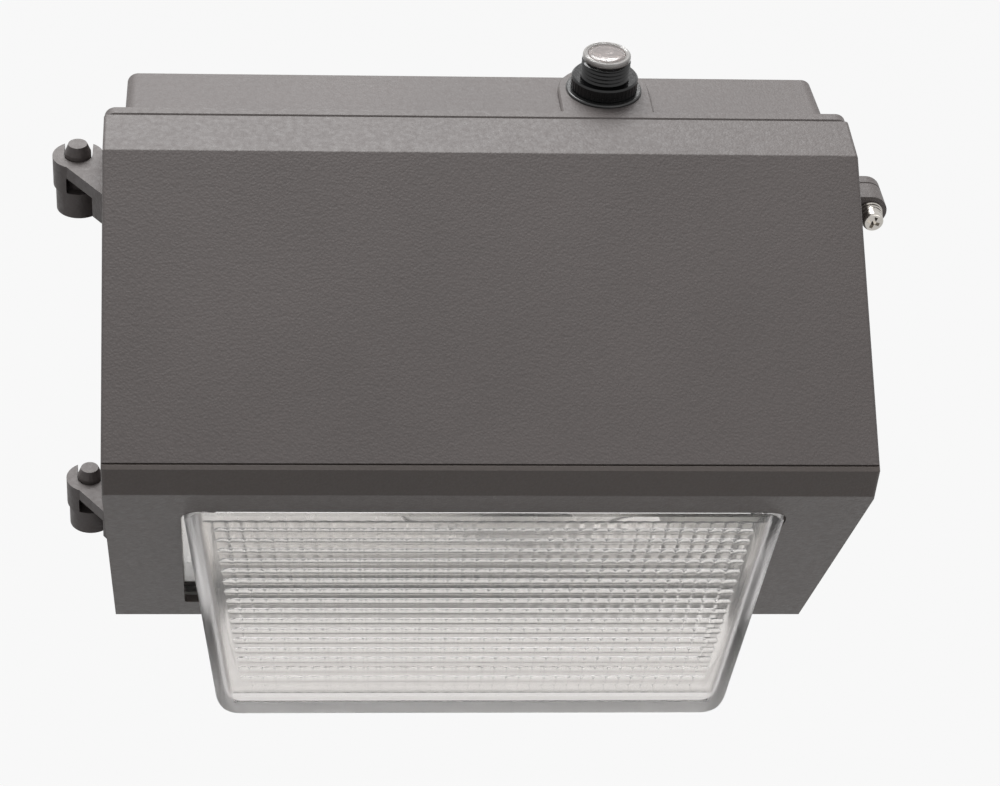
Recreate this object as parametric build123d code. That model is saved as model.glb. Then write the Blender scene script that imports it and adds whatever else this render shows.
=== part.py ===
from build123d import *
import math
import os

# Wall pack light: a shallow back box on the wall carries a deep hinged front door.
# The door is a sloped die-cast hood with a lens frame, a ribbed glass refractor
# and all the lamp gear. Origin: centre of the back box's wall face, front to -Y.

# Driving dimensions, mm
W = 320.0            # door width at the front lip
H = 232.3            # door height
BOX_D = 43.0         # wall to parting plane
BOX_DROP = 1.3       # back box's top below the flange's, at the flange
BOX_FALL = 2.7       # fall of the back box's top from the flange to the wall
SPLAY = 2.3          # each side of the door is wider by this at the parting plane
DRAFT = 0.8          # and narrower by this at the bottom edge than at the lip
WALL = 3.2           # casting wall
FLANGE_T = 5.5       # rim flange of the back box
BOX_STEP = 8.7       # box side in from the flange edge
TOP_RUN = 27.4       # flat top of the door, front to back
TOP_DROP = 1.2       # fall of the flat top
NOSE_D = 147.0       # parting plane to the seam at the front
NOSE_Z = 155.9       # seam height above the bottom edge
LIP_OUT = 2.5        # front lip in front of the seam
LIP_H = 14.0         # lip height
FOOT_D = 62.9        # parting plane to the bottom edge of the lower face
LENS_TOP = 21.4      # lip to the lens opening, along the lower face
LENS_BOT = 20.0      # bottom edge to the lens opening, along the lower face
LENS_SIDE = 32.7     # door side to the lens at its opening
LENS_DRAFT = 0.255   # loss of the lens's half width per mm that it stands out
LENS_EDGE = 4.5      # rounding between the lens's front, sides and underside
LENS_CORNER = 11.0   # rounding of its lower corners
LENS_DROP = 6.0      # underside of the lens above the door's bottom edge
GLASS = 5.0          # glass thickness
RIBS = 17            # horizontal ribs on the lens front
RIB_PITCH = 5.67
RIB_R = 2.3
RIB_OUT = 1.0        # rib height over the glass
RIB_END = 14.0       # from the lens's side edge to the end of a rib
HINGE_X = 11.7       # hinge axis outside the door's side at the parting plane
PIN_R = 5.75
PIN_TOPS = (217.0, 37.4)   # heights of the two hinge pins' tops
KNUCKLE_R = 10.2
HOOK_R = 11.2
HOOK_H = 14.0
LATCH_Z = 192.8      # latch screw height
LATCH_X = 12.9       # latch screw outside the door's side
WASHERS = ((1.6, 5.5), (1.7, 5.2), (2.0, 4.9))   # thickness and radius, from the ear
EAR_R = 7.6
EAR_T = 12.0         # door ear, front to back
SCREW_R = 2.1
HEAD_R = 4.6
HEAD_T = 3.9
CELL_X = 57.4        # photocell from the centre
CELL_Y = 17.8        # photocell in front of the wall
PAD_HALF = 20.3      # half width of the cast pad under the photocell
SEAT_R = 16.8        # photocell's rubber washer
SEAT_T = 1.2
CELL_RISE = 8.9      # thread on show above the nut
CELL_BORE = 8.0      # window opening, radius
CELL_DEEP = 5.0      # window to the sensor
CELL_RIM_R = 13.6    # photocell's rim inside the box
CELL_RIM_H = 14.0
CAP_DISC_R = 10.6    # clear cap
CAP_DISC_T = 2.1
THREAD_R = 10.8
THREAD_PITCH = 1.81
NUT_R = 14.7
NUT_T = 6.2
BOLT_X = 220.0       # wall screw spacing
BOLT_Z = 140.0
BOLT_R = 3.5
WIRE_R = 11.15       # wire entry hole radius
WIRE_Z = 35.0
TRAY_D = 12.0        # parting plane to the front of the gear tray
TRAY_T = 1.5
TRAY_LOW = 60.0      # tray's lower edge above the door's bottom edge
TRAY_HIGH = 22.0     # tray's upper edge below the door's top
TRAY_GAP = 17.0      # tray's end to the door's side
GEAR_GAP = 6.0       # gear's top to the sloped panel's inner face
BALLAST = (82.0, 40.0, 46.0)   # width, depth, height of the core
GEAR_EDGE = 15.7     # tray's end to the first and last piece of gear
COIL = (50.0, 16.0, 54.0)
CAN_R = 19.0
CAN_H = 52.0
STRAP_T = 1.4
STRAP_FOOT = 16.0    # strap's two feet beside the can, together
STRAP_H = 12.0
IGNITOR = (36.0, 26.0, 46.0)
BLOCK = (34.0, 14.0, 30.0)
SHEET = 1.0          # reflector sheet
REFL_OUT = 4.0       # reflector end beyond the lens half width
REFL_CURVE = ((116.0, 136.0), (60.0, 146.0), (32.0, 126.0), (26.0, 92.0), (30.0, 56.0), (50.0, 24.0))
REFL_AT = ((48.0, 120.0), (44.0, 62.0))
LAMP_D = 72.0        # lamp axis in front of the parting plane
LAMP_Z = 86.0
HOLDER_R = 20.0
HOLDER_L = 44.0
CAP_R = 13.2         # lamp base radius
BULB_R = 26.5
BULB_L = 128.0
ARC_R = 7.0

YP = -BOX_D          # parting plane
SIDE = W / 2 + SPLAY + DRAFT * (H / NOSE_Z - 1)   # door half width at the parting plane, top
BOX_HALF = SIDE - BOX_STEP
LIP_D = NOSE_D + LIP_OUT
LENS_HALF = W / 2 - LENS_SIDE
BOX_TOP = H - BOX_DROP   # heights above the door's bottom edge
BOX_BOT = 8.0

os.makedirs("parts", exist_ok=True)


def up(h):
    """Height above the door's bottom edge to the row frame."""
    return h - H / 2


def fw(d):
    """Distance in front of the parting plane to the row frame."""
    return YP - d


def save(shape, node):
    shape.label = node
    export_step(shape, "parts/" + node + ".step")


def box(x0, x1, y0, y1, z0, z1):
    size = (abs(x1 - x0), abs(y1 - y0), abs(z1 - z0))
    return Pos((x0 + x1) / 2, (y0 + y1) / 2, (z0 + z1) / 2) * Box(*size)


def side_prism(points, x0, x1):
    """Polygon of (y, z) points swept from x0 to x1."""
    face = Plane.YZ.offset(x0) * make_face(Polyline(*points, close=True))
    return extrude(face, amount=x1 - x0)


def plan_prism(points, z0, z1):
    """Polygon of (x, y) points swept from z0 to z1."""
    face = Plane.XY.offset(z0) * make_face(Polyline(*points, close=True))
    return extrude(face, amount=z1 - z0)


def front_prism(points, y0, y1):
    """Polygon of (x, z) points swept from y0 to y1, y0 below y1."""
    face = Plane.XZ.offset(-y0) * make_face(Polyline(*points, close=True))
    return extrude(face, amount=-(y1 - y0))


def cyl_y(r, y0, y1, x, z):
    return Pos(x, (y0 + y1) / 2, z) * Rot(90, 0, 0) * Cylinder(r, abs(y1 - y0))


def cyl_z(r, z0, z1, x, y):
    return Pos(x, y, (z0 + z1) / 2) * Cylinder(r, abs(z1 - z0))


def cyl_x(r, x0, x1, y, z):
    return Pos((x0 + x1) / 2, y, z) * Rot(0, 90, 0) * Cylinder(r, abs(x1 - x0))


# Door profile in (y, z), row frame
P_TOP = (fw(0), up(H))
P_BEND = (fw(TOP_RUN), up(H - TOP_DROP))
P_SEAM = (fw(NOSE_D), up(NOSE_Z))
SLOPE = (H - TOP_DROP - NOSE_Z) / (NOSE_D - TOP_RUN)
P_LIP = (fw(LIP_D), up(NOSE_Z - SLOPE * (LIP_D - NOSE_D)))
P_CHIN = (fw(LIP_D - 0.9), P_LIP[1] - LIP_H)
P_FOOT = (fw(FOOT_D), up(0))
P_HEEL = (fw(0), up(0))

# Lower face: unit vector down along it and unit normal into the door
LEN = math.hypot(P_FOOT[0] - P_CHIN[0], P_FOOT[1] - P_CHIN[1])
UY = (P_FOOT[0] - P_CHIN[0]) / LEN
UZ = (P_FOOT[1] - P_CHIN[1]) / LEN
NY = -UZ
NZ = UY


def low(s, n):
    """Point s down the lower face from the lip and n into the door."""
    return (P_CHIN[0] + UY * s + NY * n, P_CHIN[1] + UZ * s + NZ * n)


SEAM_N = (P_SEAM[0] - P_CHIN[0]) * NY + (P_SEAM[1] - P_CHIN[1]) * NZ
SEAM_S = (P_SEAM[0] - P_CHIN[0]) * UY + (P_SEAM[1] - P_CHIN[1]) * UZ
SEAM_FOOT = low(LEN - SEAM_N * NZ / UZ, SEAM_N)
SEAM_FOOT = (SEAM_FOOT[0], up(0))


def low_frame(s, n):
    """Plane on the lower face: local x along X, local y up the face, z outwards."""
    y, z = low(s, n)
    return Plane(origin=(0, y, z), x_dir=(1, 0, 0), z_dir=(0, -NY, -NZ))


def half_at(d, inset=0.0, h=NOSE_Z):
    """Door half width at d in front of the parting plane and h above the bottom edge."""
    return W / 2 + SPLAY * (1 - d / LIP_D) + DRAFT * (h / NOSE_Z - 1) - inset


def door_plan(inset, d0, d1):
    """Block between the door's two drafted sides, from d0 to d1."""
    near, far, low_h, high_h = d0, d1, -20, H + 20
    loops = [[(s, near, low_h), (s, far, low_h), (s, far, high_h), (s, near, high_h)] for s in (-1, 1)]
    loops += [[(-1, d, low_h), (1, d, low_h), (1, d, high_h), (-1, d, high_h)] for d in (near, far)]
    loops += [[(-1, near, h), (1, near, h), (1, far, h), (-1, far, h)] for h in (low_h, high_h)]
    faces = []
    for loop in loops:
        points = [(s * half_at(d, inset, h), fw(d), up(h)) for s, d, h in loop]
        faces.append(make_face(Polyline(*points, close=True)).face())
    return Part() + Solid(Shell(faces))


# Back box
HOLLOW = BOX_HALF - WALL
PART_LINE = 0.8      # softened edges along the parting line
flange = box(-SIDE, SIDE, YP, YP + FLANGE_T, up(0), up(H))
flange = fillet(flange.edges().filter_by(Axis.Y), 5.0)
flange = chamfer(flange.faces().sort_by(Axis.Y)[0].edges(), PART_LINE)
BOX_REAR = BOX_TOP - BOX_FALL
shell_side = [(YP + 1, up(BOX_BOT)), (0, up(BOX_BOT)), (0, up(BOX_REAR)), (YP + 1, up(BOX_TOP))]
shell = side_prism(shell_side, -BOX_HALF, BOX_HALF)
shell = fillet(shell.edges().filter_by(lambda e: YP + 5 < e.center().Y < -5), 5.0)
shell = chamfer(shell.faces().sort_by(Axis.Y)[-1].edges(), 1.2)
# level cast pad for the photocell, flush with the flange's top and rounded at the wall
CELL_AT = (CELL_X, -CELL_Y)
PAD_TOP = H - 0.15
inside = up(BOX_REAR - WALL - 0.6)
pad = box(CELL_X - PAD_HALF, CELL_X + PAD_HALF, YP + 1, -CELL_Y, inside + 4, up(PAD_TOP))
pad += cyl_z(PAD_HALF, inside + 4, up(PAD_TOP), *CELL_AT)
pad -= box(CELL_X - 50, CELL_X + 50, -0.6, 50, up(0), up(H + 50))
pad = chamfer(pad.faces().sort_by(Axis.Z)[-1].edges(), 0.7)
KX = -SIDE - HINGE_X
RX = SIDE + LATCH_X


def latch_ear(y0, y1, joint_y):
    """D-shaped ear beside the door, softened where it meets its partner at joint_y."""
    ear = cyl_y(EAR_R, y0, y1, RX, up(LATCH_Z))
    ear += box(SIDE - 2, RX, y0, y1, up(LATCH_Z) - EAR_R, up(LATCH_Z) + EAR_R)
    edges = ear.edges().filter_by(lambda e: abs(e.center().Y - joint_y) < 0.01)
    return chamfer(edges, PART_LINE * 0.7)


back = flange + shell + pad
for top in PIN_TOPS:
    k1 = up(top - 5.7 - HOOK_H - 0.2)
    k0 = k1 - 12.2
    back += cyl_z(KNUCKLE_R, k0, k1, KX, YP)
    back += box(KX, -BOX_HALF + 1, YP, YP + KNUCKLE_R, k0, k1)
    brace = [(KX, YP + 5), (-BOX_HALF + 1, YP + 5), (-BOX_HALF + 1, YP + 24)]
    back += plan_prism(brace, k0, k1)
ear_z = up(LATCH_Z)
back += latch_ear(YP, YP + FLANGE_T, YP)
hollow = [(YP - 1, up(BOX_BOT + WALL)), (-WALL, up(BOX_BOT + WALL))]
hollow += [(-WALL, up(BOX_REAR - WALL)), (YP - 1, up(BOX_TOP - WALL))]
back -= side_prism(hollow, -HOLLOW, HOLLOW)
back += cyl_z(SEAT_R, inside, up(BOX_REAR), *CELL_AT) & box(-200, 200, YP, -0.6, up(0), up(H))
# inside bosses behind the side and bottom conduit entries
PLUG_R = 10.45
PLUG_T = 9.0
PLUG_Y = -19.0
PLUG_Z = up(H * 0.42)
for s in (-1, 1):
    back += cyl_x(14.5, s * (BOX_HALF - PLUG_T), s * (BOX_HALF - 0.5), PLUG_Y, PLUG_Z)
    back -= cyl_x(PLUG_R, s * (BOX_HALF - 20), s * (BOX_HALF + 5), PLUG_Y, PLUG_Z)
back += cyl_z(14.5, up(BOX_BOT + 0.5), up(BOX_BOT + PLUG_T), 0, PLUG_Y)
back -= cyl_z(PLUG_R, up(BOX_BOT - 5), up(BOX_BOT + 20), 0, PLUG_Y)
# wall holes, wire entry, ground boss
for sx in (-1, 1):
    for sz in (-1, 1):
        at = (sx * BOLT_X / 2, sz * BOLT_Z / 2)
        back += cyl_y(8.5, -WALL - 3.0, -WALL + 0.5, *at)
        back -= cyl_y(BOLT_R, -20, 5, *at)
back -= cyl_y(WIRE_R, -20, 5, 0, WIRE_Z)
GROUND = (-75.0, -45.0)
back += cyl_y(5.0, -WALL - 8, -WALL + 0.5, *GROUND)
back -= cyl_y(2.0, -WALL - 9, -WALL - 1, *GROUND)
# holes for the photocell, pins and latch screw
back -= cyl_z(THREAD_R + 0.3, up(BOX_TOP - 20), up(BOX_TOP + 10), *CELL_AT)
for top in PIN_TOPS:
    back -= cyl_z(PIN_R, up(top - 40), up(top), KX, YP)
back -= cyl_y(SCREW_R + 0.4, YP - 5, YP + FLANGE_T + 5, RX, ear_z)
save(back, "back_box")

for name, top in zip(("upper", "lower"), PIN_TOPS):
    bottom = up(top - 5.7 - HOOK_H - 0.2) - 12.2
    pin = cyl_z(PIN_R, bottom, up(top - 4.0), KX, YP)
    tip = Pos(KX, YP, up(top - 2.0)) * Cone(PIN_R, 4.15, 4.0)
    save(pin + tip, "hinge_pin_" + name)

for name, s in (("left", -1), ("right", 1)):
    plug = cyl_x(PLUG_R, s * (BOX_HALF - PLUG_T), s * (BOX_HALF - 0.4), PLUG_Y, PLUG_Z)
    hexa = Plane.YZ.offset(s * (BOX_HALF - 0.4)) * Pos(PLUG_Y, PLUG_Z) * RegularPolygon(5.5, 6)
    plug -= extrude(hexa, amount=-s * 5.0)
    save(plug, "conduit_plug_" + name)
plug = cyl_z(PLUG_R, up(BOX_BOT + 0.4), up(BOX_BOT + PLUG_T), 0, PLUG_Y)
hexa = Plane.XY.offset(up(BOX_BOT + 0.4)) * Pos(0, PLUG_Y) * RegularPolygon(5.5, 6)
plug -= extrude(hexa, amount=5.0)
save(plug, "conduit_plug_bottom")

screw = cyl_y(2.0, -WALL - 8, -WALL - 1, *GROUND)
head = Plane.XZ.offset(WALL + 8) * Pos(GROUND[0], GROUND[1]) * RegularPolygon(4.6, 6)
screw += extrude(head, amount=3.4)
save(screw, "ground_screw")

# Photocell
cell_base = up(PAD_TOP)
ring = cyl_z(SEAT_R, cell_base, cell_base + SEAT_T, *CELL_AT)
ring = fillet(ring.edges().sort_by(Axis.Z)[-1], SEAT_T * 0.6)
ring -= cyl_z(THREAD_R + 0.3, cell_base - 1, cell_base + 5, *CELL_AT)
save(ring, "photocell_gasket")

nut_z = cell_base + SEAT_T
nut = cyl_z(NUT_R, nut_z, nut_z + NUT_T, *CELL_AT)
nut = chamfer(nut.edges(), 0.7)
knurls = 44
for i in range(knurls):
    a = 2 * math.pi * i / knurls
    x = CELL_X + (NUT_R + 0.35) * math.cos(a)
    y = -CELL_Y + (NUT_R + 0.35) * math.sin(a)
    nut -= cyl_z(0.7, nut_z - 1, nut_z + NUT_T - 1.1, x, y)
nut -= cyl_z(THREAD_R, nut_z - 1, nut_z + NUT_T + 1, *CELL_AT)
save(nut, "photocell_nut")

CELL_TOP = nut_z + NUT_T + CELL_RISE
z = nut_z + NUT_T
profile = [(0, inside - CELL_RIM_H), (CELL_RIM_R, inside - CELL_RIM_H)]
profile += [(CELL_RIM_R, inside), (THREAD_R, inside), (THREAD_R, z)]
turns = int((CELL_TOP - z) / THREAD_PITCH)
for i in range(turns):
    profile += [(THREAD_R - 0.8, z + THREAD_PITCH * 0.45)]
    z += THREAD_PITCH
    profile += [(THREAD_R, z)]
profile += [(THREAD_R - 0.8, z + 0.5), (THREAD_R - 0.8, CELL_TOP), (CELL_BORE, CELL_TOP)]
profile += [(CELL_BORE, CELL_TOP - CELL_DEEP), (0, CELL_TOP - CELL_DEEP)]
face = make_face(Polyline(*[(r, 0, h) for r, h in profile], close=True))
body = Pos(CELL_X, -CELL_Y, 0) * revolve(face, Axis.Z)
save(body, "photocell_body")

floor_z = CELL_TOP - CELL_DEEP
sensor = cyl_z(0.62 * CELL_BORE, floor_z, floor_z + 0.4 * CELL_DEEP, *CELL_AT)
sensor += cyl_z(CELL_BORE - 0.1, floor_z, floor_z + 0.16 * CELL_DEEP, *CELL_AT)
save(sensor, "photocell_sensor")

cap = cyl_z(CAP_DISC_R, CELL_TOP, CELL_TOP + CAP_DISC_T, *CELL_AT)
cap = fillet(cap.edges().sort_by(Axis.Z)[-1], 0.6 * CAP_DISC_T)
cap -= cyl_z(CELL_BORE - 0.1, CELL_TOP - 1, CELL_TOP + 0.45 * CAP_DISC_T, *CELL_AT)
save(cap, "photocell_cap")

# Hood
outline = [P_TOP, P_BEND, P_SEAM, SEAM_FOOT, P_HEEL]
hood = side_prism(outline, -SIDE - 5, SIDE + 5) & door_plan(0, 0, LIP_D + 20)


def on_upper_shell(e):
    """True for the edges of the hood's top and slope, and the corners along them."""
    return fw(NOSE_D - 1) < e.center().Y < fw(1) and e.center().Z > P_SEAM[1] + 1


hood = fillet(hood.edges().filter_by(on_upper_shell), 1.6)
hood = chamfer(hood.faces().sort_by(Axis.Y)[-1].edges(), PART_LINE)


def inner_poly(t):
    """The hood's side outline moved in by t, open at the back and at the seam."""
    ca = 1 / math.cos(math.atan(SLOPE))
    top = up(H - TOP_DROP - t)
    bend = (fw(TOP_RUN - t * 0.3), top)
    far = (fw(NOSE_D + 30), top - SLOPE * (NOSE_D + 30 - TOP_RUN) - (ca - 1) * t * 0.5)
    foot = (fw(NOSE_D + 30), up(t))
    return [(fw(-20), top), bend, far, foot, (fw(-20), up(t))]


hood -= side_prism(inner_poly(WALL), -SIDE - 5, SIDE + 5) & door_plan(WALL, -20, LIP_D + 20)
# back rim with a gasket channel
RIM = 9.0
RIM_D = 6.0
rim = door_plan(0.5, 0, RIM_D) & box(-200, 200, fw(RIM_D), fw(0), up(0.5), up(H - TOP_DROP - 0.5))
rim -= box(-SIDE + RIM, SIDE - RIM, fw(RIM_D + 1), fw(-1), up(RIM), up(H - TOP_DROP - RIM))
hood += rim
g0 = 3.4
g1 = 6.4
channel = box(-SIDE + g0, SIDE - g0, fw(2.5), fw(-1), up(g0), up(H - TOP_DROP - g0))
channel -= box(-SIDE + g1, SIDE - g1, fw(9), fw(-2), up(g1), up(H - TOP_DROP - g1))
hood -= channel
seal = box(-SIDE + g0, SIDE - g0, fw(2.5), fw(0), up(g0), up(H - TOP_DROP - g0))
seal -= box(-SIDE + g1, SIDE - g1, fw(9), fw(-2), up(g1), up(H - TOP_DROP - g1))
save(seal, "door_gasket")

# hinge hooks: C-shaped plates that stand round the pins, open to the wall
for top in PIN_TOPS:
    h1 = up(top - 5.7)
    plate = cyl_z(HOOK_R, h1 - 6.0, h1, KX, YP)
    wedge = [(KX - HOOK_R + 0.5, fw(2.0)), (-half_at(33), fw(33)), (-half_at(33) + 1, fw(33))]
    wedge += [(-SIDE + 1, fw(0)), (KX, fw(0))]
    plate += plan_prism(wedge, h1 - 6.0, h1)
    skirt = cyl_z(HOOK_R, h1 - HOOK_H, h1 - 5.5, KX, YP)
    skirt &= box(KX - 20, KX - 5.0, YP - 20, YP + 20, h1 - 30, h1)
    web = [(-half_at(25) - 5.5, fw(25.3)), (-half_at(33), fw(33)), (-half_at(33) + 1, fw(33))]
    web += [(-half_at(14) + 1, fw(14)), (-half_at(14) - 1, fw(14))]
    plate += skirt + plan_prism(web, h1 - 15.5, h1 - 5.5)
    plate -= cyl_z(PIN_R + 0.45, h1 - 30, h1 + 5, KX, YP)
    plate -= box(KX - PIN_R - 0.45, KX + PIN_R + 0.45, YP, YP + 30, h1 - 30, h1 + 5)
    hood += plate
# latch ear
hood += latch_ear(fw(EAR_T), fw(0), fw(0))
hood -= cyl_y(SCREW_R + 0.5, fw(EAR_T + 5), fw(-5), RX, ear_z)

# side bosses that carry the gear tray and the reflector
TRAY_X = SIDE - TRAY_GAP
TRAY_Z = (TRAY_LOW + 10.0, H - TRAY_HIGH - 10.0)
for s in (-1, 1):
    for h in TRAY_Z:
        hood += box(s * (TRAY_X - 12), s * (SIDE - 1.5), fw(TRAY_D), fw(TRAY_D + 14), up(h - 7), up(h + 7))
        hood -= cyl_y(1.6, fw(TRAY_D + 10), fw(TRAY_D - 2), s * (TRAY_X - 5), up(h))
REFL_X = LENS_HALF + REFL_OUT
for s in (-1, 1):
    for d, h in REFL_AT:
        hood += box(s * REFL_X, s * (half_at(d) - 1.5), fw(d + 6), fw(d - 6), up(h - 6), up(h + 6))
        hood -= cyl_x(1.6, s * (REFL_X - 2), s * (REFL_X + 12), fw(d), up(h))
# corner bosses for the lens frame screws
BOSS_S = (SEAM_S + 30.0, LEN - 30.0)
BOSS_X = W / 2 - 10.0
for s in (-1, 1):
    for a in BOSS_S:
        plane = low_frame(a, SEAM_N)
        post = plane * Pos(s * BOSS_X, 0, -9) * Box(12, 14, 18)
        post += plane * Pos(s * (BOSS_X + 5), 0, -9) * Box(8, 14, 18)
        hood += post
        hood -= plane * Pos(s * BOSS_X, 0, 0) * Cylinder(2.4, 60)
save(hood, "door_hood")


def lens_patch(grow, r_top, r_low):
    """Lens outline on the lower face, grown all round, with rounded corners."""
    a = LENS_HALF + grow
    h = OPEN_H / 2 + grow
    face = make_face(Polyline((-a, h), (a, h), (a, -h), (-a, -h), close=True))
    face = fillet(face.vertices().sort_by(Axis.Y)[2:], r_top)
    return fillet(face.vertices().sort_by(Axis.Y)[:2], r_low)


# Lens frame
slab = side_prism([P_SEAM, P_LIP, P_CHIN, P_FOOT, SEAM_FOOT], -SIDE - 5, SIDE + 5)
slab &= door_plan(0, -10, LIP_D + 10)


def on_lip(e):
    """True for the lip's lower edge and the upright corners at its ends."""
    near = abs(e.center().Y - P_CHIN[0])
    return near < 3 and abs(e.center().X) > W / 2 - 3 or near < 0.3 and abs(e.center().Z - P_CHIN[1]) < 0.3


slab = fillet(slab.edges().filter_by(on_lip), 1.5)
# shadow groove along the seam
GROOVE = 1.0
lip_len = math.hypot(P_LIP[0] - P_SEAM[0], P_LIP[1] - P_SEAM[1])
share = GROOVE / lip_len
groove = [(P_SEAM[0] + 0.4, P_SEAM[1] + 0.4), (P_SEAM[0] + UY * GROOVE, P_SEAM[1] + UZ * GROOVE)]
groove += [tuple(a + (b - a) * share for a, b in zip(P_SEAM, P_LIP))]
slab -= side_prism(groove, -SIDE - 5, SIDE + 5)
FACE_T = 3.5
OPEN_H = LEN - LENS_TOP - LENS_BOT
mid = LENS_TOP + OPEN_H / 2
LAP = 9.0            # lens flange beyond the opening
slab -= extrude(low_frame(mid, FACE_T) * lens_patch(LAP + 1.0, 10, 10), amount=-100)
slab -= extrude(low_frame(mid, -50) * lens_patch(0.9, 9, 2), amount=-100)
for s in (-1, 1):
    for a in BOSS_S:
        plane = low_frame(a, SEAM_N)
        slab -= plane * Pos(s * BOSS_X, 0, 3.0) * Cylinder(1.7, 6.0)
CLIP_X = (-LENS_HALF * 0.6, LENS_HALF * 0.6)
CLIP_S = (LENS_TOP - LAP - 5.0, LEN - LENS_BOT + LAP + 5.0)
for x in CLIP_X:
    for a in CLIP_S:
        slab -= low_frame(a, SEAM_N) * Pos(x, 0, 2.5) * Cylinder(1.5, 5.0)
save(slab, "lens_frame")

n = 0
for s in (-1, 1):
    for a in BOSS_S:
        n += 1
        plane = low_frame(a, SEAM_N)
        bolt = plane * Pos(s * BOSS_X, 0, -6.5) * Cylinder(1.7, 25)
        bolt += plane * Pos(s * BOSS_X, 0, -19.5) * Cylinder(3.6, 3)
        bolt -= plane * Pos(s * BOSS_X, 0, -20.6) * Box(5, 0.9, 1.2)
        save(bolt, "frame_screw_" + str(n))

# Lens
A = low(LENS_TOP, 0)
B = (A[0] + 1.5, up(LENS_DROP))
C = low(LEN - LENS_BOT, 0)


def stands_out(y, z):
    """How far a point is in front of the lower face."""
    return -((y - P_CHIN[0]) * NY + (z - P_CHIN[1]) * NZ)


def lens_block(k, deep):
    """Outer (k = 0) or inner (k = glass) wedge of the lens, carried deep into the door."""
    ay, az = low(LENS_TOP + k, 60)
    cy, cz = low(LEN - LENS_BOT - k, 60)
    a2 = (A[0] + k, low(LENS_TOP + k, 0)[1])
    b2 = (B[0] + k, B[1] + k)
    c2 = low(LEN - LENS_BOT - k * 0.4, 0)
    reach = 400
    shape = side_prism([a2, b2, (c2[0], c2[1] + k * 0.6), (cy, cz), (ay, az)], -reach, reach)
    # sides drafted square to the lower face, as the glass leaves its mould
    half = LENS_HALF - k
    out = 90
    wedge = [(-half, -out), (-half, 0), (-half + LENS_DRAFT * out, out)]
    wedge += [(half - LENS_DRAFT * out, out), (half, 0), (half, -out)]
    down = Plane(origin=(0, *low(mid, 0)), x_dir=(1, 0, 0), z_dir=(0, UY, UZ))
    shape &= extrude(down * make_face(Polyline(*wedge, close=True)), amount=reach, both=True)
    front = shape.edges().filter_by(lambda e: e.center().Y < A[0] + k + 3 and abs(e.center().X) > 50
                                    and e.center().Z < A[1] - 3 and e.length > 60)
    shape = fillet(front, LENS_EDGE)
    # round the two lower corners as seen from the front
    foot = LENS_HALF - k - LENS_DRAFT * stands_out(*b2)
    rise = LENS_DRAFT * (stands_out(*b2) - stands_out(*a2)) / (a2[1] - b2[1])
    tall = 300
    outline = [(-foot, b2[1]), (foot, b2[1])]
    outline += [(s * (foot + rise * tall), b2[1] + tall) for s in (1, -1)]
    outline = Plane.XZ * make_face(Polyline(*outline, close=True))
    outline = fillet(outline.vertices().sort_by(Axis.Z)[0:2], LENS_CORNER - k * 0.6)
    shape &= Pos(0, 100, 0) * extrude(outline, amount=500)
    shape &= extrude(low_frame(mid, -300) * lens_patch(0, 9, 1.5), amount=-600)
    front_half = low_frame(mid, deep) * Pos(0, 0, reach / 2) * Box(2 * reach, 2 * reach, reach)
    return shape & front_half


outer = lens_block(0, FACE_T + 4.0)
plane = low_frame(mid, FACE_T + 1.5)
plate = extrude(plane * lens_patch(LAP, 10, 10), amount=-4.0)
glass = outer + plate
glass -= lens_block(GLASS, FACE_T + 30.0)
ribs = []
for i in range(RIBS):
    z = A[1] - 10.0 - RIB_PITCH * i
    y = A[0] + (B[0] - A[0]) * (A[1] - z) / (A[1] - B[1]) + RIB_R - RIB_OUT
    half = LENS_HALF - LENS_DRAFT * stands_out(y, z) - RIB_END
    rib = cyl_x(RIB_R, -half, half, y, z)
    rib += Pos(-half, y, z) * Sphere(RIB_R)
    rib += Pos(half, y, z) * Sphere(RIB_R)
    ribs.append(rib)
glass = glass.fuse(*ribs)
save(glass, "lens_glass")

plane = low_frame(mid, FACE_T)
seal = extrude(plane * lens_patch(LAP, 10, 10), amount=-1.5)
seal -= extrude(plane * lens_patch(1.1, 9, 2), amount=-5)
save(seal, "lens_gasket")

n = 0
for x in CLIP_X:
    for a, inward in zip(CLIP_S, (1, -1)):
        n += 1
        plane = low_frame(a, SEAM_N)
        top_n = FACE_T + 5.5
        clip = plane * Pos(x, 0, -1.0) * Box(16, 10, 2.0)
        lip = low_frame(a + inward * 9.0, top_n)
        clip += lip * Pos(x, 0, -(SEAM_N - top_n + 2.0) / 2) * Box(16, 9, SEAM_N - top_n + 2.0)
        clip -= plane * Pos(x, 0, 0) * Cylinder(1.5, 20)
        save(clip, "lens_clip_" + str(n))
        bolt = plane * Pos(x, 0, 1.5) * Cylinder(1.5, 7.0)
        bolt += plane * Pos(x, 0, -3.1) * Cylinder(3.0, 2.2)
        save(bolt, "clip_screw_" + str(n))

# Reflector
curve = REFL_CURVE
outer_pts = [(fw(d), up(h)) for d, h in curve]
inner_pts = []
cx = sum(d for d, h in curve) / len(curve)
cz = sum(h for d, h in curve) / len(curve)
for d, h in curve:
    k = math.hypot(d - cx, h - cz)
    t = SHEET * 1.2
    inner_pts.append((fw(d + (cx - d) * t / k), up(h + (cz - h) * t / k)))
pan = side_prism(outer_pts + inner_pts[::-1], -REFL_X, REFL_X)
for s in (-1, 1):
    pan += side_prism(outer_pts, s * REFL_X, s * (REFL_X - SHEET))
for s in (-1, 1):
    for d, h in REFL_AT:
        pan -= cyl_x(1.6, s * (REFL_X - 5), s * (REFL_X + 5), fw(d), up(h))
save(pan, "reflector")
n = 0
for s in (-1, 1):
    for d, h in REFL_AT:
        n += 1
        bolt = cyl_x(1.6, s * (REFL_X - SHEET), s * (REFL_X + 9), fw(d), up(h))
        bolt += cyl_x(3.2, s * (REFL_X - SHEET - 2), s * (REFL_X - SHEET), fw(d), up(h))
        save(bolt, "reflector_screw_" + str(n))

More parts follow.
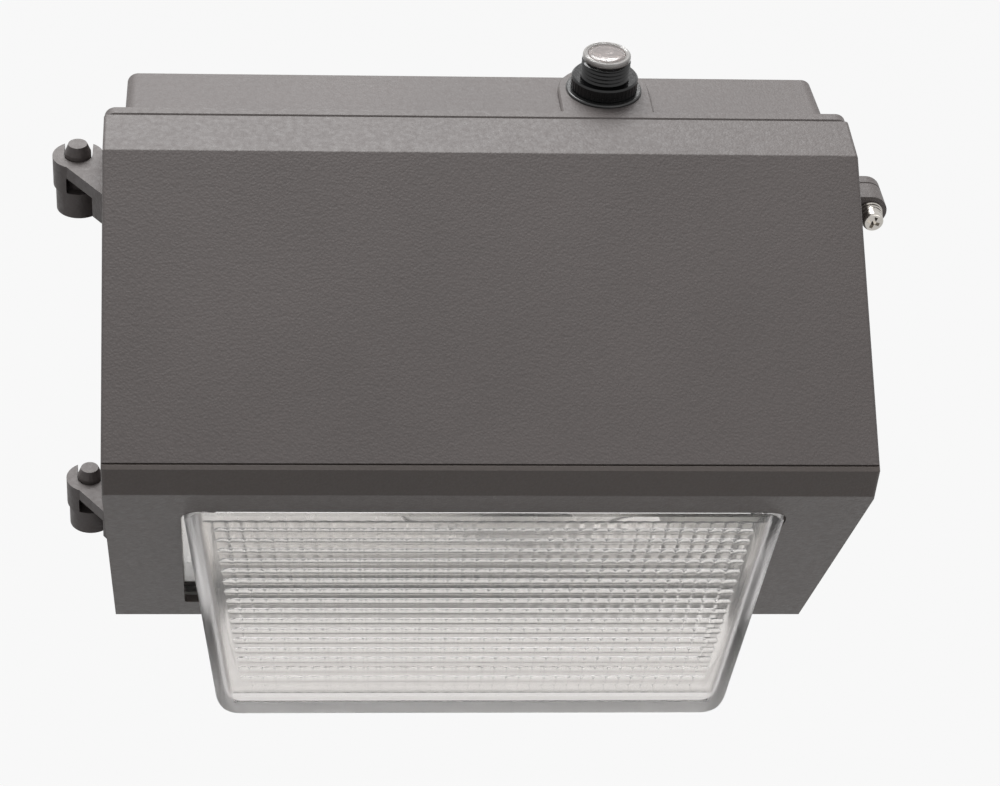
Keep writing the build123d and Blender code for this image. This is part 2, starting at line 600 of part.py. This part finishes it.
# Lamp and its holder
LAMP = (fw(LAMP_D), up(LAMP_Z))
base_x = REFL_X - SHEET
seat = 0.32 * HOLDER_L
holder = cyl_x(HOLDER_R, base_x - HOLDER_L, base_x, *LAMP)
holder = chamfer(holder.edges().sort_by(Axis.X)[0], 0.1 * HOLDER_R)
holder -= cyl_x(CAP_R + 0.4, base_x - HOLDER_L - 5, base_x - seat, *LAMP)
save(holder, "lampholder")
base = cyl_x(CAP_R, base_x - HOLDER_L + 2, base_x - seat - 4, *LAMP)
base += cyl_x(0.38 * CAP_R, base_x - seat - 4, base_x - seat, *LAMP)
save(base, "lamp_base")
x0 = base_x - HOLDER_L + 2
neck = CAP_R - 0.4
shape = [(x0, neck), (x0 - 0.17 * BULB_L, 0.57 * BULB_R), (x0 - 0.375 * BULB_L, 0.98 * BULB_R)]
shape += [(x0 - 0.61 * BULB_L, BULB_R), (x0 - 0.845 * BULB_L, 0.68 * BULB_R)]
shape += [(x0 - 0.953 * BULB_L, 0.453 * BULB_R)]


def bulb_solid(k):
    pts = [(x + k * 0.9, r - k) for x, r in shape]
    top = Spline(*pts, tangents=[(-1, 0.05), (-0.6, -0.8)])
    end = (pts[-1][0] - 0.047 * BULB_L, 0)
    crown = Spline(pts[-1], end, tangents=[(-0.6, -0.8), (0, -1)])
    face = make_face([top, crown, Line(end, (pts[0][0], 0)), Line((pts[0][0], 0), pts[0])])
    return Pos(0, LAMP[0], LAMP[1]) * revolve(Plane.XY * face, Axis.X)


bulb = bulb_solid(0) - bulb_solid(1.0)
save(bulb, "lamp_bulb")
arc = cyl_x(ARC_R, x0 - 0.66 * BULB_L, x0 - 0.31 * BULB_L, *LAMP)
arc = fillet(arc.edges(), 0.43 * ARC_R)
arc += cyl_x(0.17 * ARC_R, x0 - 0.33 * BULB_L, x0, *LAMP)
save(arc, "lamp_arc_tube")

# Gear tray
tray = box(-TRAY_X, TRAY_X, fw(TRAY_D), fw(TRAY_D - TRAY_T), up(TRAY_LOW), up(H - TRAY_HIGH))
tray -= box(-TRAY_X * 0.4, TRAY_X * 0.4, fw(TRAY_D + 5), fw(-5), up(TRAY_LOW + 14), up(TRAY_LOW + 80))
tray = fillet(tray.edges().filter_by(Axis.Y), 5.0)
for s in (-1, 1):
    for h in TRAY_Z:
        tray -= cyl_y(1.6, fw(TRAY_D + 5), fw(0), s * (TRAY_X - 5), up(h))
save(tray, "gear_tray")
n = 0
for s in (-1, 1):
    for h in TRAY_Z:
        n += 1
        bolt = cyl_y(1.6, fw(TRAY_D + 9), fw(TRAY_D - TRAY_T), s * (TRAY_X - 5), up(h))
        bolt += cyl_y(3.2, fw(TRAY_D - TRAY_T), fw(TRAY_D - TRAY_T - 2), s * (TRAY_X - 5), up(h))
        save(bolt, "tray_screw_" + str(n))

# the gear stands in a row on the tray under the sloped panel, evenly spaced
GEAR_TOP = H - TOP_DROP - SLOPE * (TRAY_D + BALLAST[1] - TOP_RUN) - 1.3 * WALL - GEAR_GAP


STRAP_W = 2 * CAN_R + STRAP_FOOT
widths = (IGNITOR[0], BALLAST[0], STRAP_W, BLOCK[0])
between = (2 * (TRAY_X - GEAR_EDGE) - sum(widths)) / (len(widths) - 1)
gear_x = []
left = GEAR_EDGE - TRAY_X
for wide in widths:
    gear_x.append(left + wide / 2)
    left += wide + between
IGNITOR_X, BALLAST_X, CAN_X, BLOCK_X = gear_x


def on_tray(x, size, drop=0.0, lift=0.0):
    """Box of (width, depth, height) on the tray's front face, its top at GEAR_TOP - drop."""
    w, d, h = size
    y0 = fw(TRAY_D + lift)
    return box(x - w / 2, x + w / 2, y0, y0 - d, up(GEAR_TOP - drop - h), up(GEAR_TOP - drop))


proud = (COIL[2] - BALLAST[2]) / 2
window = (BALLAST[1] - COIL[1]) / 2
core = on_tray(BALLAST_X, BALLAST, proud)
core -= on_tray(BALLAST_X, (COIL[0], COIL[1], COIL[2] + 10), -5, window)
save(core, "ballast_core")
save(on_tray(BALLAST_X, COIL, 0, window), "ballast_coil")
can_y = fw(TRAY_D + STRAP_T + CAN_R)
can = cyl_z(CAN_R, up(GEAR_TOP - CAN_H), up(GEAR_TOP), CAN_X, can_y)
can = fillet(can.edges(), 2.0)
save(can, "capacitor")
belt = GEAR_TOP - 0.4 * CAN_H
strap = cyl_z(CAN_R + 1.2, up(belt - STRAP_H), up(belt), CAN_X, can_y)
strap += on_tray(CAN_X, (STRAP_W, STRAP_T, STRAP_H), 0.4 * CAN_H)
strap -= cyl_z(CAN_R, up(belt - 50), up(belt + 50), CAN_X, can_y)
save(strap, "capacitor_strap")
ign = on_tray(IGNITOR_X, IGNITOR)
ign = fillet(ign.edges().filter_by(Axis.Y), 4.0)
save(ign, "ignitor")
block = on_tray(BLOCK_X, BLOCK)
for i in (-1, 0, 1):
    x = BLOCK_X + i * BLOCK[0] / 3.1
    z = up(GEAR_TOP - BLOCK[2] / 2)
    block -= cyl_y(2.2, fw(TRAY_D + BLOCK[1] + 5), fw(TRAY_D + BLOCK[1] / 2), x, z)
save(block, "terminal_block")

# Latch screw
y = fw(EAR_T)
for name, (t, r) in zip(("latch_washer_inner", "latch_washer_outer"), WASHERS):
    disc = cyl_y(r, y - t, y, RX, ear_z)
    disc = chamfer(disc.edges(), 0.35)
    disc -= cyl_y(SCREW_R + 0.1, y - t - 1, y + 1, RX, ear_z)
    save(disc, name)
    y -= t
t, r = WASHERS[2]
lock = cyl_y(r, y - t, y, RX, ear_z)
lock = chamfer(lock.edges(), 0.35)
lock -= cyl_y(SCREW_R + 0.1, y - t - 1, y + 1, RX, ear_z)
lock -= Pos(RX + 0.65 * r, y - t / 2, ear_z + 0.3 * r) * Rot(0, 0, 35) * Box(r, 0.7, 0.6 * r)
save(lock, "latch_lock_washer")
y -= t
head = cyl_y(HEAD_R, y - HEAD_T, y, RX, ear_z)
head = fillet(head.edges().sort_by(Axis.Y)[0], 1.1)
for a in (20, 110):
    head -= Pos(RX, y - HEAD_T, ear_z) * Rot(0, a, 0) * Box(1.25 * HEAD_R, 0.9 * HEAD_T, 0.34 * HEAD_R)
head += cyl_y(SCREW_R, y, YP + FLANGE_T, RX, ear_z)
save(head, "latch_screw")
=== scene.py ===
import math

import bmesh
import bpy
from mathutils import Matrix, Vector


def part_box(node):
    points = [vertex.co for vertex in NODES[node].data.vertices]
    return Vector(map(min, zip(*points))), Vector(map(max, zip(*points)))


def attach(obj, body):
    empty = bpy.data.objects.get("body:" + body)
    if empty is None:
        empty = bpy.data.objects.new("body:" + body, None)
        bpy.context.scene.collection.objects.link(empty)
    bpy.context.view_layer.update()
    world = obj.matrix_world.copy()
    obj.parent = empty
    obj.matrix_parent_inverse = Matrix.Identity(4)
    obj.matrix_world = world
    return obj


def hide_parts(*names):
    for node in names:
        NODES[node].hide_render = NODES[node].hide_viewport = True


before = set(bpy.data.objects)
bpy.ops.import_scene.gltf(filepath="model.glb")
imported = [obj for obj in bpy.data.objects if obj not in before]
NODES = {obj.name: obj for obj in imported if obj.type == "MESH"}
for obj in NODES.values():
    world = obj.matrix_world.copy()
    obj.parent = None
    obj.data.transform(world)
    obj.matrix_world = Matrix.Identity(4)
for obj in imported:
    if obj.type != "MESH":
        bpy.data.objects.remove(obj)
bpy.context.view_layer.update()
scene = bpy.context.scene
MM = 0.001

# Camera, at the photograph's place and angle
FOCAL_PX = 2674.1
FRAME_W = 1000.0
SENSOR_W = 36.0
SHIFT = (0.13, 0.0114)
PITCH, YAW, ROLL = math.radians(36.864), math.radians(3.665), math.radians(2.426)
CAM_AT = (-0.106367, -1.046172, 0.713161)


def camera():
    data = bpy.data.cameras.new("camera")
    data.sensor_width = SENSOR_W
    data.lens = FOCAL_PX * SENSOR_W / FRAME_W
    data.shift_x, data.shift_y = SHIFT
    obj = bpy.data.objects.new("camera", data)
    scene.collection.objects.link(obj)
    ahead = Vector((math.sin(YAW) * math.cos(PITCH), math.cos(YAW) * math.cos(PITCH), -math.sin(PITCH)))
    level = Vector((math.cos(YAW), -math.sin(YAW), 0.0))
    above = level.cross(ahead)
    right = level * math.cos(ROLL) + above * math.sin(ROLL)
    up = above * math.cos(ROLL) - level * math.sin(ROLL)
    turned = Matrix((right, up, -ahead)).transposed().to_4x4()
    obj.matrix_world = Matrix.Translation(CAM_AT) @ turned
    scene.camera = obj


camera()


# Material building blocks
def material(name):
    m = bpy.data.materials.new(name)
    m.use_nodes = True
    nt = m.node_tree
    nt.nodes.clear()
    out = nt.nodes.new("ShaderNodeOutputMaterial")
    bsdf = nt.nodes.new("ShaderNodeBsdfPrincipled")
    nt.links.new(bsdf.outputs[0], out.inputs[0])
    return m, nt, bsdf


def coords(nt, stretch=(1, 1, 1)):
    tc = nt.nodes.new("ShaderNodeTexCoord")
    mp = nt.nodes.new("ShaderNodeMapping")
    mp.inputs["Scale"].default_value = stretch
    nt.links.new(tc.outputs["Object"], mp.inputs[0])
    return mp.outputs[0]


def noise(nt, vec, scale, detail=2.0, rough=0.5):
    n = nt.nodes.new("ShaderNodeTexNoise")
    n.inputs["Scale"].default_value = scale
    n.inputs["Detail"].default_value = detail
    n.inputs["Roughness"].default_value = rough
    nt.links.new(vec, n.inputs["Vector"])
    return n.outputs[0]


def ramp(nt, fac, start, end):
    """Colour ramp between two (position, colour) stops."""
    r = nt.nodes.new("ShaderNodeValToRGB")
    for element, (position, color) in zip(r.color_ramp.elements, (start, end)):
        element.position, element.color = position, color
    nt.links.new(fac, r.inputs[0])
    return r.outputs[0]


def math_node(nt, op, *values):
    m = nt.nodes.new("ShaderNodeMath")
    m.operation = op
    for i, v in enumerate(values):
        if isinstance(v, (int, float)):
            m.inputs[i].default_value = v
        else:
            nt.links.new(v, m.inputs[i])
    return m.outputs[0]


def bump(nt, height, bsdf, strength, depth):
    b = nt.nodes.new("ShaderNodeBump")
    b.inputs["Strength"].default_value = strength
    b.inputs["Distance"].default_value = depth
    nt.links.new(height, b.inputs["Height"])
    nt.links.new(b.outputs[0], bsdf.inputs["Normal"])


def grey(v):
    return (v, v, v, 1)


def shade(col, k):
    return tuple(min(1.0, c * k) for c in col) + (1,)


# A noise output lies mostly between these two values, so ramps over it run between them
NOISE_LOW, NOISE_HIGH = 0.3, 0.7


def tint(nt, fac, col, low, high):
    """The colour col, from low to high times it over the noise fac."""
    return ramp(nt, fac, (NOISE_LOW, shade(col, low)), (NOISE_HIGH, shade(col, high)))


def rough_ramp(nt, fac, low, high):
    return ramp(nt, fac, (NOISE_LOW, grey(low)), (NOISE_HIGH, grey(min(1.0, high))))


def powder(name, base, grain, depth, rough):
    """Textured powder coat: leathery grain and slow tone drift, with painted shade darkening the pits
    between the grains.
    """
    m, nt, b = material(name)
    v = coords(nt)
    cell = nt.nodes.new("ShaderNodeTexVoronoi")
    cell.feature = "SMOOTH_F1"
    cell.inputs["Scale"].default_value = grain
    cell.inputs["Smoothness"].default_value = 0.7
    nt.links.new(v, cell.inputs["Vector"])
    hill = math_node(nt, "SUBTRACT", 1.0, cell.outputs["Distance"])
    fine = noise(nt, v, scale=grain * 2.1, detail=3.0, rough=0.6)
    mid = noise(nt, v, scale=grain * 0.45, detail=3.0, rough=0.55)
    slow = noise(nt, v, scale=13.0, detail=4.0, rough=0.55)
    tone = math_node(nt, "MULTIPLY_ADD", slow, 0.5, math_node(nt, "MULTIPLY", mid, 0.25))
    # The grain height lightens the grain tops and darkens the pits between them: painted shade in the pits
    tone = math_node(nt, "MULTIPLY_ADD", hill, 0.25, tone)
    color = ramp(nt, tone, (0.36, shade(base, 0.90)), (0.66, shade(base, 1.10)))
    nt.links.new(color, b.inputs["Base Color"])
    nt.links.new(rough_ramp(nt, mid, *rough), b.inputs["Roughness"])
    height = math_node(nt, "MULTIPLY_ADD", fine, 0.35, math_node(nt, "MULTIPLY", hill, 0.9))
    height = math_node(nt, "MULTIPLY_ADD", mid, 0.8, height)
    bump(nt, height, b, 1.0, depth)
    return m


def plastic(name, col, rough, grain, strength, gloss=0.5):
    """Moulded or glazed surface: slow tone drift and a fine grain in its gloss."""
    m, nt, b = material(name)
    b.inputs["Specular IOR Level"].default_value = gloss
    v = coords(nt)
    n = noise(nt, v, grain, detail=3.0)
    slow = noise(nt, v, scale=60.0)
    nt.links.new(tint(nt, slow, col, 0.8, 1.2), b.inputs["Base Color"])
    nt.links.new(rough_ramp(nt, n, rough * 0.85, rough * 1.2), b.inputs["Roughness"])
    bump(nt, n, b, strength, 0.0001)
    return m


def metal(name, col, rough, stretch=(1, 1, 1), strength=0.25):
    """Bare or plated metal: fine scratches or hammering, drawn out by stretch."""
    m, nt, b = material(name)
    b.inputs["Metallic"].default_value = 1.0
    v = coords(nt, stretch)
    n = noise(nt, v, scale=900.0, detail=3.0, rough=0.6)
    slow = noise(nt, v, scale=40.0, detail=3.0)
    nt.links.new(tint(nt, slow, col, 0.86, 1.08), b.inputs["Base Color"])
    nt.links.new(rough_ramp(nt, n, rough * 0.7, rough * 1.35), b.inputs["Roughness"])
    bump(nt, n, b, strength, 0.00008)
    return m


def glass(name, col, clear, rough, grain, ior=1.47):
    """Pressed or moulded glass: part clear, part milky, with slow waves in its skin."""
    m, nt, b = material(name)
    b.inputs["IOR"].default_value = ior
    b.inputs["Transmission Weight"].default_value = clear
    n = noise(nt, coords(nt), grain)
    nt.links.new(tint(nt, n, col, 0.97, 1.0), b.inputs["Base Color"])
    nt.links.new(rough_ramp(nt, n, rough * 0.7, rough * 1.3), b.inputs["Roughness"])
    bump(nt, n, b, 0.35, 0.0001)
    return m


# The lens's front, in metres: its height, half width at the top edge, and loss of that per metre down
LENS_Z = (5.9 * MM, -110.15 * MM)
LENS_HALF, LENS_TAPER = 127.3 * MM, 0.13
# The frosted rim: how wide it is, how far back it goes, and how softly it ends
RIM_WIDE, RIM_BACK, RIM_FADE = 9.0 * MM, -165.0 * MM, 2.5 * MM
# A point of the plane above which the lens's foot is clear, and that plane's rise per metre back
FOOT_Y, FOOT_Z, FOOT_RISE = -178.95 * MM, -102.0 * MM, 0.176


def lens_half(z):
    return LENS_HALF - LENS_TAPER * (LENS_Z[0] - z)


def lens_rim(nt, vec):
    """1 on the frosted rim of the lens's front and on its underside, 0 elsewhere."""

    def inside(a, b):
        m = math_node(nt, "DIVIDE", math_node(nt, "SUBTRACT", a, b), RIM_FADE)
        m.node.use_clamp = True
        return m

    split = nt.nodes.new("ShaderNodeSeparateXYZ")
    nt.links.new(vec, split.inputs[0])
    x, y, z = split.outputs
    clear_half = math_node(nt, "MULTIPLY_ADD", z, LENS_TAPER, lens_half(0.0) - RIM_WIDE)
    sides = inside(math_node(nt, "ABSOLUTE", x), clear_half)
    front = inside(RIM_BACK, y)
    foot_top = math_node(nt, "MULTIPLY_ADD", y, FOOT_RISE, FOOT_Z - FOOT_RISE * FOOT_Y)
    foot = inside(foot_top, z)
    return math_node(nt, "MAXIMUM", math_node(nt, "MULTIPLY", sides, front), foot)


def rimmed_glass(name, col, clear, rough, grain, ior, rim_col, rim_milk, rim_frost):
    """The lens's glass, paler, milkier and rougher on its rim."""
    m, nt, b = material(name)
    b.inputs["IOR"].default_value = ior
    v = coords(nt)
    n = noise(nt, v, grain)
    edge = math_node(nt, "MULTIPLY", lens_rim(nt, v), math_node(nt, "MULTIPLY_ADD", n, 0.3, 0.85))
    pale = nt.nodes.new("ShaderNodeMix")
    pale.data_type = "RGBA"
    nt.links.new(edge, pale.inputs[0])
    nt.links.new(tint(nt, n, col, 0.97, 1.0), pale.inputs[6])
    pale.inputs[7].default_value = rim_col + (1,)
    nt.links.new(pale.outputs[2], b.inputs["Base Color"])
    nt.links.new(math_node(nt, "MULTIPLY_ADD", edge, -rim_milk, clear), b.inputs["Transmission Weight"])
    nt.links.new(math_node(nt, "MULTIPLY_ADD", edge, rim_frost, rough), b.inputs["Roughness"])
    bump(nt, n, b, 0.35, 0.0001)
    return m


PAINT = powder("housing_powder", (0.135, 0.118, 0.114), grain=900.0, depth=0.00012, rough=(0.46, 0.60))
# The lens frame wears the housing's powder coat made darker: painted shade for the frame's down-facing lip
# and lower face
SHADED_LENS_PAINT = powder("lens_frame_shaded_powder", (0.102, 0.086, 0.079), grain=900.0, depth=0.00008,
                    rough=(0.44, 0.56))
BLACK = plastic("black_nylon", (0.006, 0.006, 0.0065), rough=0.13, grain=700.0, strength=0.2, gloss=0.4)
RUBBER = plastic("dark_rubber", (0.035, 0.035, 0.035), rough=0.22, grain=900.0, strength=0.3)
SILICONE = plastic("grey_silicone", (0.35, 0.35, 0.33), rough=0.6, grain=500.0, strength=0.3)
PORCELAIN = plastic("porcelain", (0.80, 0.79, 0.74), rough=0.22, grain=300.0, strength=0.1)
CORE = plastic("core_varnish", (0.04, 0.04, 0.045), rough=0.45, grain=600.0, strength=0.4)
COIL = plastic("coil_tape", (0.42, 0.24, 0.06), rough=0.5, grain=500.0, strength=0.4)
GREEN = plastic("ground_green", (0.03, 0.20, 0.06), rough=0.35, grain=500.0, strength=0.2)
SENSOR = plastic("sensor_face", (0.80, 0.70, 0.69), rough=0.35, grain=300.0, strength=0.1)
ZINC = metal("bright_zinc", (0.50, 0.475, 0.44), rough=0.16)
GALV = metal("galvanised_sheet", (0.52, 0.53, 0.54), rough=0.4, strength=0.4)
REFL = metal("hammered_reflector", (0.92, 0.91, 0.90), rough=0.3, stretch=(0.12, 0.12, 0.12), strength=0.5)
BRASS = metal("lamp_base_metal", (0.76, 0.62, 0.36), rough=0.3)
CAN = metal("can_aluminium", (0.72, 0.72, 0.73), rough=0.32, stretch=(1, 1, 0.05))
LENS = rimmed_glass("pressed_glass", (0.995, 0.985, 0.975), clear=0.985, rough=0.05, grain=90.0, ior=1.44,
                    rim_col=(0.97, 0.95, 0.94), rim_milk=0.02, rim_frost=0.40)
FLUTE = glass("pressed_flutes", (0.985, 0.97, 0.955), clear=0.92, rough=0.12, grain=120.0, ior=1.44)
CLEAR = glass("clear_window", (0.97, 0.97, 0.96), clear=0.96, rough=0.05, grain=200.0)
CAP_RIM = glass("cap_rim", (0.60, 0.58, 0.56), clear=0.30, rough=0.12, grain=300.0)
CAP_WINDOW = glass("cap_window", (0.80, 0.74, 0.72), clear=0.68, rough=0.08, grain=200.0)

# Every CAD node that isn't named here is plated steel
FINISH = {
    PAINT: ("back_box", "door_hood", "hinge_pin_upper", "hinge_pin_lower", "conduit_plug_left",
            "conduit_plug_right", "conduit_plug_bottom"),
    SHADED_LENS_PAINT: ("lens_frame",),
    LENS: ("lens_glass",),
    CLEAR: ("photocell_cap", "lamp_bulb"),
    BLACK: ("photocell_body", "photocell_nut", "ignitor", "terminal_block"),
    RUBBER: ("photocell_gasket",),
    SENSOR: ("photocell_sensor",),
    SILICONE: ("door_gasket", "lens_gasket"),
    REFL: ("reflector",),
    PORCELAIN: ("lampholder", "lamp_arc_tube"),
    BRASS: ("lamp_base",),
    GALV: ("gear_tray", "capacitor_strap", "lens_clip_1", "lens_clip_2", "lens_clip_3", "lens_clip_4"),
    CORE: ("ballast_core",),
    COIL: ("ballast_coil",),
    CAN: ("capacitor",),
    GREEN: ("ground_screw",),
}
finish_of = {name: mat for mat, names in FINISH.items() for name in names}
for name, obj in NODES.items():
    obj.data.materials.clear()
    obj.data.materials.append(finish_of.get(name, ZINC))


def piece(name, bm, mat, body, smooth=True):
    mesh = bpy.data.meshes.new(name)
    bmesh.ops.recalc_face_normals(bm, faces=bm.faces)
    bm.to_mesh(mesh)
    bm.free()
    mesh.materials.append(mat)
    for poly in mesh.polygons:
        poly.use_smooth = smooth
    obj = bpy.data.objects.new(name, mesh)
    scene.collection.objects.link(obj)
    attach(obj, body)
    return obj


def bridge(bm, one, two):
    """Faces between two closed loops of as many points."""
    for a, b, c, d in zip(one, one[1:] + one[:1], two[1:] + two[:1], two):
        bm.faces.new((a, b, c, d))


def sheet_solid(rows, cols, front, back):
    """Closed slab between two grids of points, front(i, j) and back(i, j)."""
    bm = bmesh.new()
    grids = []
    for at in (front, back):
        grids.append([[bm.verts.new(at(i, j)) for j in range(cols)] for i in range(rows)])
    for grid in grids:
        for upper, lower in zip(grid, grid[1:]):
            for j in range(cols - 1):
                bm.faces.new((upper[j], upper[j + 1], lower[j + 1], lower[j]))
    rim = [(i, 0) for i in range(rows)] + [(rows - 1, j) for j in range(1, cols)]
    rim += [(i, cols - 1) for i in range(rows - 2, -1, -1)] + [(0, j) for j in range(cols - 2, 0, -1)]
    bridge(bm, *[[grid[i][j] for i, j in rim] for grid in grids])
    return bm


# Upright prisms pressed inside the lens, in metres
FLUTES = 39
PER_FLUTE = 8
FLUTE_PITCH = 5.67 * MM
FLUTE_HALF = FLUTES / 2 * FLUTE_PITCH
FLUTE_HIGH = 0.8 * MM
SHEET = 0.6 * MM
SKIN = 0.1 * MM
WALL = 6.0 * MM
FLUTE_TOP, FLUTE_LOW = -1.2 * MM, -100.5 * MM
INNER_Y = (-175.25 * MM, -173.98 * MM)      # the lens's inner face at its top and bottom edge
END = 2.2 * MM
END_STEPS = 6

ends = [END * (1 - math.cos(k * math.pi / 2 / END_STEPS)) for k in range(END_STEPS + 1)]
levels = [FLUTE_TOP - drop for drop in ends] + [FLUTE_LOW + rise for rise in reversed(ends)]
columns = FLUTES * PER_FLUTE + 1


def inner_y(z):
    share = (LENS_Z[0] - z) / (LENS_Z[0] - LENS_Z[1])
    return INNER_Y[0] + (INNER_Y[1] - INNER_Y[0]) * share


def flute_back(i, j):
    z = levels[i]
    x = (-FLUTE_HALF + j * FLUTE_PITCH / PER_FLUTE) * (lens_half(z) - WALL) / FLUTE_HALF
    near_end = min(FLUTE_TOP - z, z - FLUTE_LOW, END)
    dome = math.sqrt(max(0.0, 1 - (1 - near_end / END) ** 2))
    wave = abs(math.sin(math.pi * j / PER_FLUTE))
    near_side = min(j, columns - 1 - j, PER_FLUTE) / PER_FLUTE
    return (x, inner_y(z) + SKIN + (SHEET * near_side + FLUTE_HIGH * wave) * dome, z)


def flute_front(i, j):
    x, y, z = flute_back(i, j)
    return (x, inner_y(z) + SKIN / 2, z)


piece("lens_flutes", sheet_solid(len(levels), columns, flute_front, flute_back), FLUTE, "door")

# Reflector's skirt: bright sheet from the reflector's mouth to the lens opening, (x, y, z) in mm
MOUTH = ((131.0, -158.6, 19.6), (131.0, -93.4, -91.9))
OPENING = ((130.0, -169.4, 10.8), (130.0, -107.2, -91.1))
SKIRT_T = 0.6
SKIRT_BULGE = 0.8
SKIRT_ROWS = 6


def skirt_loop(corners, grow):
    """Four corners from the upper and lower right ones, grown outwards by grow."""
    (xt, yt, zt), (xb, yb, zb) = corners
    up_y, up_z = yt - yb, zt - zb
    size = math.hypot(up_y, up_z)
    gy, gz = grow * up_y / size, grow * up_z / size
    top = [(-xt - grow, yt + gy, zt + gz), (xt + grow, yt + gy, zt + gz)]
    return top + [(xb + grow, yb - gy, zb - gz), (-xb - grow, yb - gy, zb - gz)]


def skirt():
    bm = bmesh.new()
    rings = []
    rows = [(k, 0.0) for k in range(SKIRT_ROWS)] + [(k, SKIRT_T) for k in reversed(range(SKIRT_ROWS))]
    for k, thick in rows:
        share = k / (SKIRT_ROWS - 1)
        grow = thick - SKIRT_BULGE * math.sin(math.pi * share)
        ring = []
        for a, b in zip(skirt_loop(MOUTH, grow), skirt_loop(OPENING, grow)):
            ring.append(bm.verts.new([(p + (q - p) * share) * MM for p, q in zip(a, b)]))
        rings.append(ring)
    for one, two in zip(rings, rings[1:] + rings[:1]):
        bridge(bm, one, two)
    return bm


piece("reflector_skirt", skirt(), REFL, "door", smooth=False)

# Photocell's cap: a milky rim with two rings round a clear window
TURN_STEPS = 64
CAP_LOW, CAP_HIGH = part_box("photocell_cap")
CAP_X, CAP_Y = [(a + b) / 2 for a, b in zip(CAP_LOW[:2], CAP_HIGH[:2])]
CAP_R = (CAP_HIGH[0] - CAP_LOW[0]) / 2
CAP_RISE = CAP_HIGH[2] - CAP_LOW[2]
# Outlines as shares of the cap's radius, and of its height measured down from its top
RIM_OUTLINE = ((0.80, 1.0), (1.0, 1.0), (1.0, 0.45), (0.985, 0.2), (0.95, 0.05), (0.92, 0.0),
               (0.88, 0.02), (0.865, 0.16), (0.845, 0.16), (0.83, 0.05), (0.80, 0.12))
WINDOW_OUTLINE = ((0.0, 0.55), (0.795, 0.55), (0.795, 0.2), (0.6, 0.12), (0.3, 0.08), (0.0, 0.07))


def cap_piece(name, outline, mat):
    """Closed ring or disc turned about the cap's upright axis."""
    bm = bmesh.new()
    rings = []
    for k in range(TURN_STEPS):
        a = 2 * math.pi * k / TURN_STEPS
        ring = []
        for out, down in outline:
            x, y = CAP_X + CAP_R * out * math.cos(a), CAP_Y + CAP_R * out * math.sin(a)
            ring.append(bm.verts.new((x, y, CAP_HIGH[2] - down * CAP_RISE)))
        rings.append(ring)
    for one, two in zip(rings, rings[1:] + rings[:1]):
        bridge(bm, one, two)
    bmesh.ops.remove_doubles(bm, verts=bm.verts, dist=1e-7)
    return piece(name, bm, mat, "back_box")


cap_rim = cap_piece("photocell_cap_rim", RIM_OUTLINE, CAP_RIM)
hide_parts("photocell_cap")
cap_piece("photocell_window", WINDOW_OUTLINE, CAP_WINDOW)

# Floor, sky and lamps
FLOOR_Z = -0.75
FLOOR_SIZE = 40.0
FLOOR_GREY = 0.15       # what the floor sends back to the object
FLOOR_WHITE = 0.93      # share of plain white where the floor is seen; the rest keeps the shadow
SKY = 0.23              # light from the sky on the object


def seen_directly(nt):
    """1 for camera, glossy and transmission rays, 0 for the rays that light the object."""
    lp = nt.nodes.new("ShaderNodeLightPath")
    seen = math_node(nt, "MAXIMUM", lp.outputs["Is Camera Ray"], lp.outputs["Is Glossy Ray"])
    return math_node(nt, "MAXIMUM", seen, lp.outputs["Is Transmission Ray"])


def mixed(nt, share, one, two, out):
    blend = nt.nodes.new("ShaderNodeMixShader")
    nt.links.new(share, blend.inputs[0])
    nt.links.new(one.outputs[0], blend.inputs[1])
    nt.links.new(two.outputs[0], blend.inputs[2])
    nt.links.new(blend.outputs[0], out.inputs[0])


def floor_finish():
    m = bpy.data.materials.new("floor_white")
    m.use_nodes = True
    nt = m.node_tree
    nt.nodes.clear()
    lit = nt.nodes.new("ShaderNodeBsdfDiffuse")
    lit.inputs[0].default_value = grey(FLOOR_GREY)
    glow = nt.nodes.new("ShaderNodeEmission")
    glow.inputs[0].default_value = grey(1)
    share = math_node(nt, "MULTIPLY", seen_directly(nt), FLOOR_WHITE)
    mixed(nt, share, lit, glow, nt.nodes.new("ShaderNodeOutputMaterial"))
    return m


def lay_floor():
    mesh = bpy.data.meshes.new("floor")
    bm = bmesh.new()
    bmesh.ops.create_grid(bm, x_segments=2, y_segments=2, size=FLOOR_SIZE)
    bm.to_mesh(mesh)
    bm.free()
    mesh.materials.append(floor_finish())
    obj = bpy.data.objects.new("floor", mesh)
    scene.collection.objects.link(obj)
    obj.location = (0, 0, FLOOR_Z)


def studio_world():
    world = bpy.data.worlds.new("studio")
    scene.world = world
    world.use_nodes = True
    nt = world.node_tree
    nt.nodes.clear()
    shades = []
    for strength in (SKY, 1.0):
        bg = nt.nodes.new("ShaderNodeBackground")
        bg.inputs[0].default_value = grey(1)
        bg.inputs[1].default_value = strength
        shades.append(bg)
    mixed(nt, seen_directly(nt), *shades, nt.nodes.new("ShaderNodeOutputWorld"))


def lamp(name, at, target, size, watts):
    data = bpy.data.lights.new(name, "AREA")
    data.shape = "RECTANGLE"
    data.size, data.size_y = size
    data.energy = watts
    obj = bpy.data.objects.new(name, data)
    scene.collection.objects.link(obj)
    obj.location = at
    obj.rotation_mode = "QUATERNION"
    obj.rotation_quaternion = (Vector(target) - Vector(at)).to_track_quat("-Z", "Y")


lay_floor()
studio_world()
lamp("key_back", at=(-0.25, 1.15, 1.5), target=(0, -0.05, 0.0), size=(1.6, 0.9), watts=41.0)
lamp("front_soft", at=(1.0, -1.7, 0.55), target=(0, -0.1, -0.05), size=(1.3, 1.0), watts=5.0)

scene.view_settings.view_transform = "Standard"
